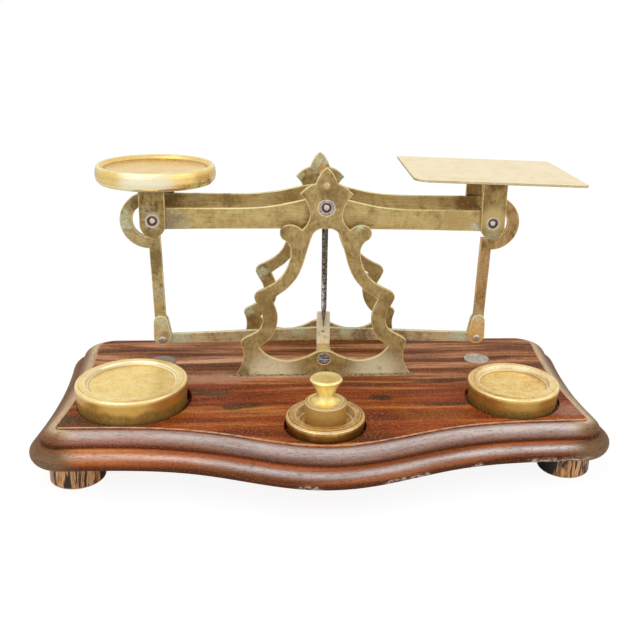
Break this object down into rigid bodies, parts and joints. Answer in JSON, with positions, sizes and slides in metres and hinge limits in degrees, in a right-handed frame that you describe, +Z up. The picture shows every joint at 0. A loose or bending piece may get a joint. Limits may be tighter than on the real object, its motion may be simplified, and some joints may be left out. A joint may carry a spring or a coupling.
{
  "type": "postal scale",
  "caption": "Brass letter balance on a moulded hardwood base: pivoted double beam with parallel stay, round weight pan, flat letter plate, lyre frame and lift-off brass weights.",
  "frame": {"origin": "on the surface the feet stand on, below the middle of the object's overall box", "axes": "+Z up, +X along the beam from the weight pan to the letter plate, -Y towards the front, where the weights stand"},
  "size_m": [0.2492, 0.1352, 0.1276],
  "materials": {
    "rosewood": "oiled, dark red-brown with black streaks, worn pale at the edges",
    "foot_wood": "dull, strongly figured brown and black",
    "screw_steel": "dull, slightly rusted",
    "frame_brass": "aged, brushed along the plate, dull olive gold",
    "pillar_brass": "warm, polished, slightly tarnished",
    "bearing_steel": "grey with a violet tarnish",
    "pin_steel": "bright, finely turned",
    "beam_brass": "aged, brushed along the bar, olive gold",
    "link_brass": "aged, brushed, pale at the edges with green spots at the joints",
    "pointer_iron": "blackened, speckled grey",
    "pan_brass": "polished bright gold",
    "plate_brass": "satin, pale gold",
    "weight_brass": "turned, warm gold with brown patina",
    "felt": "grey felt with a pale frayed rim"
  },
  "bodies": {
    "root": {"base_board": "rosewood", "foot_front_left": "foot_wood", "foot_front_right": "foot_wood", "foot_rear_left": "foot_wood", "foot_rear_right": "foot_wood", "foot_screws": "screw_steel", "front_frame": "frame_brass", "rear_frame": "frame_brass", "frame_pillar": "pillar_brass", "front_centre_bearing": "bearing_steel", "rear_centre_bearing": "bearing_steel", "index_block": "frame_brass", "index_plate": "link_brass", "frame_screw": "screw_steel", "stay_pivot": "pin_steel", "left_stop_disc": "felt", "right_stop_disc": "felt"},
    "beam": {"front_beam_bar": "beam_brass", "rear_beam_bar": "beam_brass", "centre_pin": "pin_steel", "left_end_pin": "pin_steel", "right_end_pin": "pin_steel", "pointer": "pointer_iron"},
    "left_carrier": {"left_bracket": "link_brass", "left_bearings": "bearing_steel", "left_stem": "link_brass", "left_clevis": "link_brass", "left_stay_pin": "pin_steel", "weight_pan": "pan_brass"},
    "right_carrier": {"right_bracket": "link_brass", "right_bearings": "bearing_steel", "right_stem": "link_brass", "right_clevis": "link_brass", "right_stay_pin": "pin_steel", "letter_plate": "plate_brass"},
    "stay": {"stay_bar": "link_brass"},
    "large_weight": {"large_weight": "weight_brass"},
    "medium_weight": {"medium_weight": "weight_brass"},
    "small_weight": {"small_weight": "weight_brass"},
    "knob_weight": {"knob_weight": "weight_brass"}
  },
  "joints": [
    {"name": "beam_tilt", "type": "hinge", "parent": "root", "child": "beam", "pos_m": [0, 0.0349, 0.1093], "axis": [0, 1, 0], "range_deg": [-4.5, 4.5]},
    {"name": "left_carrier_pivot", "type": "hinge", "parent": "beam", "child": "left_carrier", "pos_m": [-0.078, 0.0349, 0.1017], "axis": [0, 1, 0], "range_deg": [-4.5, 4.5]},
    {"name": "right_carrier_pivot", "type": "hinge", "parent": "beam", "child": "right_carrier", "pos_m": [0.078, 0.0349, 0.1017], "axis": [0, 1, 0], "range_deg": [-4.5, 4.5]},
    {"name": "stay_tilt", "type": "hinge", "parent": "root", "child": "stay", "pos_m": [0, 0.0349, 0.0457], "axis": [0, 1, 0], "range_deg": [-4.5, 4.5]},
    {"name": "large_weight_lift", "type": "slide", "parent": "root", "child": "large_weight", "axis": [0, 0, 1], "range_m": [0, 0.04]},
    {"name": "medium_weight_lift", "type": "slide", "parent": "root", "child": "medium_weight", "axis": [0, 0, 1], "range_m": [0, 0.04]},
    {"name": "small_weight_lift", "type": "slide", "parent": "root", "child": "small_weight", "axis": [0, 0, 1], "range_m": [0, 0.04]},
    {"name": "knob_weight_lift", "type": "slide", "parent": "small_weight", "child": "knob_weight", "axis": [0, 0, 1], "range_m": [0, 0.03]}
  ],
  "couplings": [
    {"joint": "left_carrier_pivot", "follows": "beam_tilt", "ratio": -1},
    {"joint": "right_carrier_pivot", "follows": "beam_tilt", "ratio": -1},
    {"joint": "stay_tilt", "follows": "beam_tilt", "ratio": 1}
  ]
}
